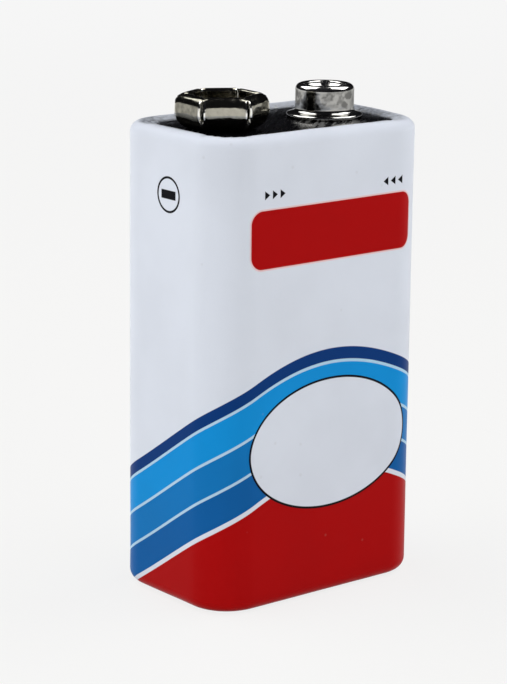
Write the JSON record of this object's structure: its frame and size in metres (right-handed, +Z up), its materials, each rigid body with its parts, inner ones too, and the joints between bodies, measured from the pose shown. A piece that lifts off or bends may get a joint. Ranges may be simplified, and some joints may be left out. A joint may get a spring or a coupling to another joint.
{
  "type": "nine volt battery",
  "caption": "Upright rounded tinplate battery block with a snap stud and a six-sided snap socket on its top.",
  "frame": {"origin": "middle of the standing face, under the jacket's lower crimp", "axes": "+Z up towards the terminals, +X from the socket to the stud, -Y out of the wide front face"},
  "size_m": [0.026, 0.017, 0.0485],
  "materials": {
    "printed_tinplate": "printed and varnished, glossy",
    "black_board": "glossy black",
    "nickel_plate": "bright nickel plate",
    "tinned_steel": "dull tinned sheet",
    "grey_card": "plain uncoated card",
    "wrap_film": "waxed film",
    "zinc": "dull rolled zinc",
    "electrolyte_paper": "damp pasted paper",
    "tray_paper": "kraft paper",
    "black_mix": "pressed black powder",
    "band_plastic": "milky shrunk plastic"
  },
  "bodies": {
    "root": {"jacket": "printed_tinplate", "terminal_board": "black_board", "positive_stud": "nickel_plate", "negative_socket": "nickel_plate", "socket_rivet": "nickel_plate", "positive_tab": "tinned_steel", "negative_strip": "tinned_steel", "spacer_card": "grey_card", "end_plate": "tinned_steel", "pile_wrap": "wrap_film", "carton_liner": "grey_card", "base_card": "grey_card", "base_plate": "black_board", "zinc_electrode_1": "zinc", "electrolyte_paper_1": "electrolyte_paper", "paper_tray_1": "tray_paper", "mix_cake_1": "black_mix", "cell_band_1": "band_plastic", "zinc_electrode_2": "zinc", "electrolyte_paper_2": "electrolyte_paper", "paper_tray_2": "tray_paper", "mix_cake_2": "black_mix", "cell_band_2": "band_plastic", "zinc_electrode_3": "zinc", "electrolyte_paper_3": "electrolyte_paper", "paper_tray_3": "tray_paper", "mix_cake_3": "black_mix", "cell_band_3": "band_plastic", "zinc_electrode_4": "zinc", "electrolyte_paper_4": "electrolyte_paper", "paper_tray_4": "tray_paper", "mix_cake_4": "black_mix", "cell_band_4": "band_plastic", "zinc_electrode_5": "zinc", "electrolyte_paper_5": "electrolyte_paper", "paper_tray_5": "tray_paper", "mix_cake_5": "black_mix", "cell_band_5": "band_plastic", "zinc_electrode_6": "zinc", "electrolyte_paper_6": "electrolyte_paper", "paper_tray_6": "tray_paper", "mix_cake_6": "black_mix", "cell_band_6": "band_plastic"}
  },
  "joints": []
}
